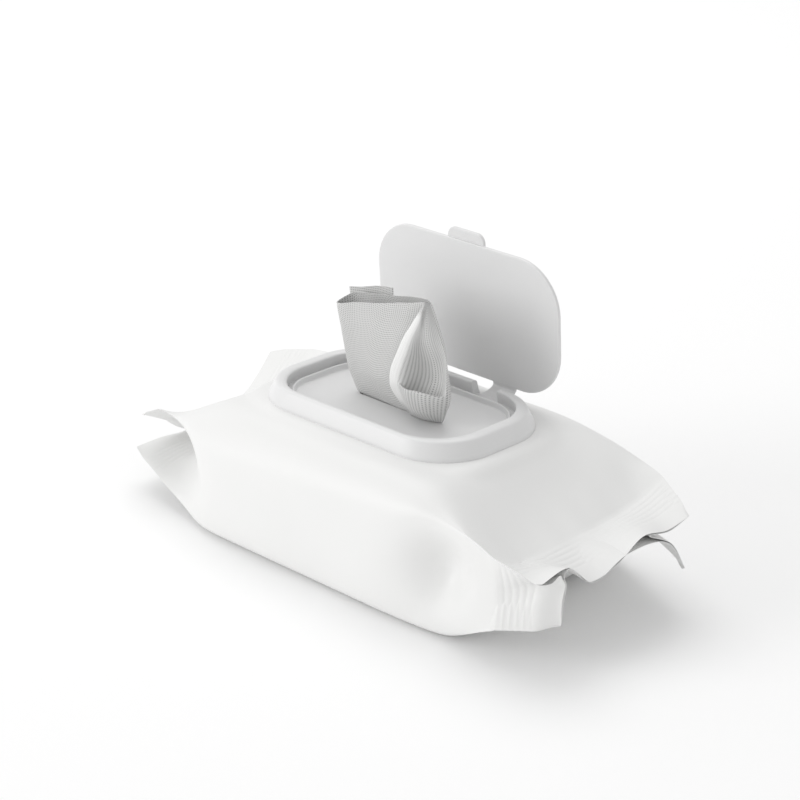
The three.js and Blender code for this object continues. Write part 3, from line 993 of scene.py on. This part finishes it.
@dataclass
class DispenserFrame:
    """The moulded frame: rim, groove, sealing lip and slotted plate in one piece."""

    foot: Outline = field(default_factory=lambda: Outline(59, 34.6, 25.8))
    well: Outline = field(default_factory=lambda: Outline(50, 29.3, 21))
    foot_z: float = 60.4
    plate_z: float = 61.4
    rim_z: float = 67.8
    lip_z: float = 63.9
    groove_z: float = 62.0
    toe: float = 0.7
    slot: Outline = field(default_factory=lambda: Outline(22.8, 1.7, 1.69))
    strap_x: float = STRAP_X
    notch_half: float = 7.1
    corner_steps: int = 22

    def profile(self) -> list[Outline]:
        """The frame's section as outlines, from under the plate round the rim to its top."""
        def rim(share: float, z: float) -> Outline:
            return self.foot.towards(self.well, share, z)

        outside = [self.well.inset(4.6, self.foot_z), rim(0.5, self.foot_z),
                   rim(0.1, self.foot_z), rim(0.06, self.foot_z - self.toe),
                   rim(0, self.foot_z - self.toe), rim(0.03, self.foot_z + 0.9),
                   rim(0.4, self.rim_z - 0.5), rim(0.58, self.rim_z), rim(0.84, self.rim_z),
                   rim(1, self.rim_z - 0.6), rim(0.86, self.groove_z),
                   self.well.inset(1.9, self.groove_z), self.well.inset(2.1, self.lip_z),
                   self.well.inset(2.9, self.lip_z), self.well.inset(3.4, self.plate_z + 0.05),
                   self.well.inset(7.0, self.plate_z)]
        return filleted(outside, 0.6)

    def build(self) -> bpy.types.Object:
        """Makes the frame.

        Returns:
            The finished piece.
        """
        mesh = bmesh.new()
        stack_of_rings(mesh, self.profile(), self.corner_steps, closed=False)
        piece = new_object("dispenser_moulding", mesh, MOULDED_FINISH)
        cutters = [self.slot_cutter()]
        for side in (-1, 1):
            low, high = side * self.strap_x - self.notch_half, side * self.strap_x + self.notch_half
            cutters.append(solid_box("notch", (low, 29.0, self.plate_z + 0.2),
                                     (high, 40, self.rim_z + 3), 0.5))
            cutters.append(solid_box("flange", (low, 33.5, 58), (high, 40, self.rim_z), 0.3))
        combined(piece, cutters, "DIFFERENCE")
        return finished(piece, Body.PACK, "moulded_polypropylene", "dispenser_frame")

    def slot_cutter(self) -> bpy.types.Object:
        """A tool of the slot's shape."""
        mesh = bmesh.new()
        ends = [self.slot.inset(0, self.foot_z - 2), self.slot.inset(0, self.plate_z - 0.25),
                self.slot.inset(-0.25, self.plate_z + 0.01), self.slot.inset(-0.25, self.plate_z + 2)]
        stack_of_rings(mesh, ends, 8, closed=False)
        return new_object("slot", mesh)


@dataclass
class Lid:
    """The flip lid with its finger tab, standing open."""

    half_x: float = 51.8
    height: float = 60.0
    radius: float = 21.5
    thickness: float = 1.6
    foot: tuple[float, float] = (41.7, 64.6)
    open_degrees: float = 86.5
    tab_half: float = 10.2
    tab_reach: float = 4.6
    tab_root: float = 7.0
    corner_steps: int = 22

    def build(self) -> bpy.types.Object:
        """Makes the lid: the panel and tab, joined, then stood up.

        Returns:
            The finished piece.
        """
        middle = self.height / 2
        outline = Outline(self.half_x, middle, self.radius)
        back = self.thickness
        edge = [outline.inset(0.9, 0.0), outline.inset(0, 0.0), outline.inset(0, -back),
                outline.inset(1.2, -back), outline.inset(3, -back - 0.1)]
        shell = [outline.inset(d, -back - 0.5 * min(1, d / 16)) for d in (6, 10, 14, 18)]
        flat = [outline.inset(d, 0.0) for d in (18, 12, 6, 2.5)]
        mesh = bmesh.new()
        stack_of_rings(mesh, flat + filleted(edge, 0.6) + shell, self.corner_steps, closed=False)
        panel = new_object("lid_panel", mesh, MOULDED_FINISH)
        self.shift(panel, middle)
        combined(panel, [self.tab()], "UNION")
        turn = Matrix.Rotation(math.radians(180 - self.open_degrees), 4, "X")
        stand = Matrix.Translation(Vector((0, self.foot[0], self.foot[1])) * MM) @ turn
        panel.data.transform(stand)
        return finished(panel, Body.LID, "moulded_polypropylene", "lid")

    def tab(self) -> bpy.types.Object:
        """The finger tab: a rounded tongue behind the lid's front edge."""
        tongue = Outline(self.tab_half, (self.tab_reach + self.tab_root) / 2, 4)
        levels = [tongue.inset(0.6, 0.0), tongue.inset(0, 0.0), tongue.inset(0, -1.5),
                  tongue.inset(0.8, -1.5), tongue.inset(1.6, -1.55)]
        mesh = bmesh.new()
        stack_of_rings(mesh, filleted(levels, 0.45), 12, closed=False)
        made = new_object("tab", mesh)
        self.shift(made, self.height + (self.tab_reach - self.tab_root) / 2, 0.6 - self.thickness)
        return made

    def shift(self, piece: bpy.types.Object, up: float, out: float = 0.0) -> None:
        """Moves a piece's mesh up the lid and out of it, in millimetres."""
        piece.data.transform(Matrix.Translation(Vector((0, up, out)) * MM))


@dataclass
class HingeStrap:
    """One flexible strap: a tongue on the frame's flange, a bend, and a root at the lid.

    Its route is a few (y, z) points, in millimetres.
    """

    side: str
    centre_x: float
    half_x: float = 6.3
    thickness: float = 0.8
    waist: float = 0.45
    flare: float = 0.08
    folds: tuple[float, float] = (0.16, 0.84)
    route: Sequence[Point] = ((32.6, 61.0), (34.3, 61.0), (36.6, 61.1), (39.4, 61.6), (41.6, 62.7),
                              (42.3, 63.7), (42.35, 65.0))

    def build(self) -> bpy.types.Object:
        """Makes the strap, thinner at its two folding lines.

        Returns:
            The finished piece, which bends from the frame to the lid.
        """
        route = smooth_curve(np.array(self.route), 41)
        along = np.gradient(route, axis=0)
        side = np.stack([-along[:, 1], along[:, 0]], axis=1)
        side /= np.linalg.norm(side, axis=1, keepdims=True)
        share = np.linspace(0, 1, len(route))
        fold = np.maximum(*(bell(share, place, 0.06) for place in self.folds))
        section = Outline(self.half_x, self.thickness / 2, 0.3).points(4)
        ring = np.array([*section, section[0]]) / MM
        place = np.zeros((len(route), len(ring), 3))
        place[..., 0] = self.centre_x + ring[None, :, 0] * (1 + self.flare * (2 * share - 1) ** 4)[:, None]
        offset = ring[None, :, 1] * (1 - self.waist * fold)[:, None]
        place[..., 1:] = route[:, None, :] + side[:, None, :] * offset[..., None]
        mesh = placed_grid(len(ring) - 1, len(route) - 1, place * MM, wraps=True)
        bmesh.ops.holes_fill(mesh, edges=[edge for edge in mesh.edges if edge.is_boundary])
        bmesh.ops.recalc_face_normals(mesh, faces=mesh.faces)
        piece = new_object(f"strap_{self.side}", mesh, MOULDED_FINISH)
        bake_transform(piece)
        report(piece, "moulded_polypropylene", f"hinge_strap_{self.side}")
        return piece


# ---- The wipe ------------------------------------------------------------------------


@dataclass
class DrawnWipe:
    """The wipe that stands in the slot: a folded sheet, rolled open like a lily at its right.

    Three edges drive it, each a few (height above the film, x, y) in millimetres: the fold
    at the left, the crest of the rolled band, and the right side. Every row has 16 points
    round the folded sheet: the left fold, the front panel, the band, the hollow, the right
    side and the back. shares says how far up each edge a row lies, and swell and drop how
    far its hollow lies behind and below the line from the crest to the right side.
    """

    left: Sequence[Point] = ((0, -23, 0), (12, -29, -1), (40, -33.5, -3))
    crest: Sequence[Point] = ((0, 11, -3), (18, 6, -12), (34, 11, -11.5), (54, 20.5, -6))
    right: Sequence[Point] = ((0, 24, 0), (16, 33, -6), (34, 29, -3.5), (53, 21, -4))
    shares: Sequence[float] = (0.04, 0.16, 0.3, 0.38, 0.49, 0.61, 0.73, 0.86, 1)
    swell: Sequence[float] = (-2, -5, -4.5, 0, 4.5, 4, -0.5, -1, 0)
    drop: Sequence[float] = (0, 0, -2, 8, 7.5, 6, 1, 0, 0)
    panel_shares: Sequence[float] = (0, 0.24, 0.5, 0.82, 1)
    hollow_shape: Sequence[Point] = ((0.42, 0.9), (0.62, 1), (0.82, 0.75))
    rear_shape: Sequence[Point] = ((0.08, 0.1), (0.26, 0.85), (0.5, 1), (0.74, 1), (0.96, 0.5))
    pleats: Sequence[Point] = ((14, 6, -2.8), (44, 27, -2.5), (14, 6, -2.1), (44, 27, -1.7),
                               (22, 2.6, -1.1))
    bow: float = 1.6
    band: float = 4.5
    tuck: tuple[float, float] = (1.3, 4.5)
    back: float = 4.2
    rear_rise: float = 2.4
    crumple_depth: float = 0.45
    crumple_length: float = 11.0
    # how strongly the rolled band's front is painted whiter: painted highlight, partly the two layers' own
    # whiteness
    doubled_and_highlight_share: float = 0.85
    film_z: float = 60.0
    cloth: float = 0.35
    columns: int = 176
    levels: int = 150
    crowding: float = 0.45
    flat_size: tuple[float, float] = (150.0, 200.0)

    def rows(self) -> np.ndarray:
        """The points of the hidden pleats, the slot and the free part, row by row."""
        hidden = [self.spread(*pleat) for pleat in self.pleats]
        slot = self.spread(21.6, 0.9, 0.3)
        free = [self.row(*level) for level in zip(self.shares, self.swell, self.drop)]
        return np.array([*hidden, slot, *free], float)

    def edge(self, knots: Sequence[Point], height: np.ndarray) -> np.ndarray:
        """One edge's x and y at heights above the film."""
        table = np.array(knots, float)
        slopes = gentle_slopes(table[:, 0], table[:, 1:])
        return hermite(table[:, 0], table[:, 1:], *slopes, np.atleast_1d(height))

    def row(self, share: float, swell: float, drop: float) -> list[Point]:
        """One row of the free part.

        Args:
            share: How far up each edge the row lies.
            swell: How far the hollow lies behind the line from crest to right side.
            drop: How far the hollow lies below that line.

        Returns:
            Its 16 points.
        """
        def corner(knots: Sequence[Point]) -> np.ndarray:
            height = share * knots[-1][0]
            return np.array([*self.edge(knots, height)[0], height])

        left, crest, right = corner(self.left), corner(self.crest), corner(self.right)
        open_share = math.sin(math.pi * share) ** 0.5
        tucked = crest + np.array([*self.tuck, 0]) * open_share
        panel = []
        for f in self.panel_shares:
            bow = np.array([0, -self.bow * math.sin(math.pi * f), 0])
            panel.append(left + (tucked - left) * f + bow * min(1, 3 * share))
        band = crest + np.array([self.band, -0.4, max(0, -drop)]) * open_share
        hollow = []
        for f, weight in self.hollow_shape:
            inward = np.array([0, swell * weight, -drop * weight])
            hollow.append(crest + (right - crest) * f + inward)
        rear = []
        for f, depth in self.rear_shape:
            place = right + (left - right) * f
            place[1] = self.back * depth * min(1, 0.3 + 2 * share)
            place[2] += self.rear_rise * share ** 4 * f
            rear.append(place)
        return [*panel, crest, band, *hollow, right, *rear]

    def spread(self, half_x: float, half_y: float, z: float) -> list[Point]:
        """One flat row of 16 points, as the folded sheet lies in the slot or under the film.

        Args:
            half_x: Half its length.
            half_y: Half its width.
            z: Its height.

        Returns:
            The points, from the left fold along the front and back along the rear.
        """
        front = [-math.cos(math.pi * (0.5 * i / 5)) if i < 6 else math.sin(math.pi * 0.5 * (i - 5) / 5)
                 for i in range(11)]
        rear = [0.93, 0.6, 0.08, -0.45, -0.93]
        places = [(half_x * u, half_y * (1 - abs(u) ** 6) ** 0.5) for u in front + rear]
        turns = len(front)
        return ([(x, -0.98 * y, z) for x, y in places[:turns]]
                + [(x, y, z) for x, y in places[turns:]])

    def build(self) -> bpy.types.Object:
        """Makes the wipe with its second layer.

        Returns:
            The finished piece.
        """
        rows = self.rows()
        around = np.stack([smooth_curve(row, self.columns, closed=True, spacing=self.even(row))
                           for row in rows])
        crowd = np.linspace(0, 1, self.levels + 1) ** self.crowding
        place = smooth_curve(around, self.levels + 1, spacing=crowd)
        place = np.concatenate([place, place[:, :1]], axis=1)
        place[..., 2] += self.film_z
        place += self.crumple(place)
        mesh = placed_grid(self.columns, self.levels, place * MM, self.flat(place), wraps=True)
        piece = new_object("drawn_wipe", mesh, CLOTH_FINISH, 75)
        self.mark_doubled_and_highlight(piece)
        layer = self.second_layer()
        with bpy.context.temp_override(active_object=piece, selected_editable_objects=[piece, layer]):
            bpy.ops.object.join()
        wall = piece.modifiers.new("cloth", "SOLIDIFY")
        wall.thickness, wall.offset = self.cloth * MM, 0
        with_modifiers(piece, sharp_degrees=75)
        finished(piece, Body.PACK, "wet_nonwoven", "dispensed_wipe")
        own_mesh(piece)
        return piece

    def even(self, row: np.ndarray) -> np.ndarray:
        """Positions that give each gap between a row's points the same number of columns."""
        gaps = np.linalg.norm(np.roll(row, -1, axis=0) - row, axis=1)
        knots = np.concatenate([[0], np.cumsum(gaps)]) / gaps.sum()
        share = np.arange(self.columns) / self.columns * len(row)
        return np.interp(share, np.arange(len(knots)), knots)

    def mark_doubled_and_highlight(self, piece: bpy.types.Object) -> None:
        """Marks where the rolled band is two layers thick and stands out in front, facing the
        light; there the colour is painted whiter, partly the two layers' own whiteness and
        partly a painted highlight.

        Args:
            piece: The wipe, before its cloth has a thickness.
        """
        places = np.array([vert.co for vert in piece.data.vertices]) / MM
        up = places[:, 2] - self.film_z
        crest = self.edge(self.crest, up)[:, 0]
        # painted highlight: the band's front, which faces the light, rising with height; partly the two
        # layers' own whiteness
        depth = smoothstep(places[:, 0] - crest, 7, 3) * smoothstep(-places[:, 1], 7.4, 8.8)
        rise = smoothstep(up, 4, 14)
        layer = piece.data.attributes.new("doubled_and_highlight", "FLOAT", "POINT")
        layer.data.foreach_set("value", (self.doubled_and_highlight_share * depth * rise).astype(np.float32))

    def second_layer(self) -> bpy.types.Object:
        """The sheet's other end: a short layer that stands behind at the left."""
        rows = np.array([
            [(-20.5, 1, 0), (-16, 1.2, 0), (-11, 1.3, 0), (-7, 1.2, 0)],
            [(-24.5, 3.5, 8), (-18.5, 4.5, 8), (-12.5, 4.5, 8), (-8, 4.5, 8)],
            [(-29.5, 5, 20), (-22, 6, 20.5), (-14.5, 6.5, 21), (-8.5, 6, 21)],
            [(-34, 5.5, 33), (-26, 6.5, 34), (-17.5, 7, 36), (-9.5, 6, 37)],
            [(-35.5, 5.5, 44), (-28, 6.5, 45.5), (-19, 7, 48), (-10, 6, 50)],
        ], float)
        around = np.stack([smooth_curve(row, 37) for row in rows])
        place = smooth_curve(around, 61)
        place[..., 2] += self.film_z
        place += self.crumple(place)
        mesh = placed_grid(36, 60, place * MM, self.flat(place))
        return new_object("second_layer", mesh, CLOTH_FINISH, 75)

    def crumple(self, place: np.ndarray) -> np.ndarray:
        """Small soft creases, which die out in the slot."""
        free = smoothstep(place[..., 2] - self.film_z, 2, 14)
        ways = []
        for shift in (0.0, 37.0, 71.0):
            ways.append([[noise.noise(Vector(p) / self.crumple_length + Vector((shift, 0, 0)))
                          for p in row] for row in place])
        return np.moveaxis(np.array(ways), 0, -1) * self.crumple_depth * free[..., None]

    def flat(self, place: np.ndarray) -> np.ndarray:
        """The cloth's own flat coordinates, in millimetres, for its embossed grid.

        Args:
            place: The cloth's points, rows by columns.

        Returns:
            Two coordinates for each point.
        """
        across = np.linalg.norm(np.diff(place, axis=1), axis=2)
        along = np.linalg.norm(np.diff(place, axis=0), axis=2)
        steady = across[len(across) * 3 // 5:].mean(axis=0)
        u = np.concatenate([[0], np.cumsum(steady)])
        v = np.concatenate([np.zeros((1, place.shape[1])), np.cumsum(along, axis=0)])
        for _ in range(12):
            v[:, 1:-1] = 0.5 * v[:, 1:-1] + 0.25 * (v[:, :-2] + v[:, 2:])
        return np.stack([np.broadcast_to(u, v.shape), v], axis=-1)


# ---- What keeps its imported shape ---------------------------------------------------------


def dress_packed_nodes() -> None:
    """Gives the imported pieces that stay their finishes."""
    for name, finish in (("wipe_stack", STACK_FINISH), ("adhesive_ring", GLUE_FINISH)):
        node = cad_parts[name]
        node.data.materials.clear()
        node.data.materials.append(finish.material())
        LOG.info("%s: keeps its packed shape", name)


# ---- Studio -----------------------------------------------------------------------------------


@dataclass
class Studio:
    """A pale floor, soft lights and the camera.

    Each light is a name, a place and a side in metres, and a power in watts.
    """

    camera_at: tuple[float, float, float] = (623.8, -631.7, 430.0)
    camera_along: tuple[float, float, float] = (-0.649583, 0.657932, -0.381009)
    lens: float = 103.86
    lights: Sequence[tuple[str, Point, float, float]] = (
        ("key", (-1.5, -2.4, 0.9), 1.7, 30.0),
        ("overhead", (-0.9, 0.6, 2.1), 1.9, 18.0),
    )
    aim: Point = (0, 0, 0.04)
    sky_strength: float = 0.68

    def build(self) -> None:
        """Makes the floor, the lights and the camera."""
        self.floor()
        for light in self.lights:
            self.light(*light)
        self.sky()
        self.camera()
        bpy.context.scene.view_settings.view_transform = "Standard"

    def floor(self) -> None:
        """A wide sheet of paper."""
        mesh = bmesh.new()
        bmesh.ops.create_grid(mesh, x_segments=1, y_segments=1, size=8)
        new_object("floor", mesh, PAPER_FINISH)

    def light(self, name: str, place: Point, size: float, power: float) -> None:
        """Adds one square soft light aimed at the pack.

        Args:
            name: The light's name.
            place: Its place, in metres.
            size: Its side, in metres.
            power: Its power, in watts.
        """
        data = bpy.data.lights.new(name, "AREA")
        data.size, data.energy = size, power
        lamp = bpy.data.objects.new(name, data)
        lamp.location = place
        lamp.rotation_euler = (Vector(self.aim) - Vector(place)).to_track_quat("-Z", "Y").to_euler()
        bpy.context.scene.collection.objects.link(lamp)

    def sky(self) -> None:
        """An even white surround."""
        world = bpy.data.worlds.new("surround")
        world.use_nodes = True
        background = world.node_tree.nodes["Background"]
        background.inputs["Color"].default_value = linear("ffffff")
        background.inputs["Strength"].default_value = self.sky_strength
        bpy.context.scene.world = world

    def camera(self) -> None:
        """The camera, with no shift and no depth of field."""
        data = bpy.data.cameras.new("camera")
        data.lens, data.sensor_width = self.lens, 36.0
        eye = bpy.data.objects.new("camera", data)
        eye.location = Vector(self.camera_at) * MM
        eye.rotation_euler = Vector(self.camera_along).to_track_quat("-Z", "Y").to_euler()
        bpy.context.scene.collection.objects.link(eye)
        bpy.context.scene.camera = eye


def main() -> None:
    """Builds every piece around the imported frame."""
    logging.basicConfig(level=logging.INFO, format="%(name)s: %(message)s")
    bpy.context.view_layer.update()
    Studio().build()
    Wrap().build()
    DispenserFrame().build()
    Lid().build()
    HingeStrap("left", -STRAP_X).build()
    HingeStrap("right", STRAP_X).build()
    DrawnWipe().build()
    dress_packed_nodes()


if __name__ == "__main__":
    main()
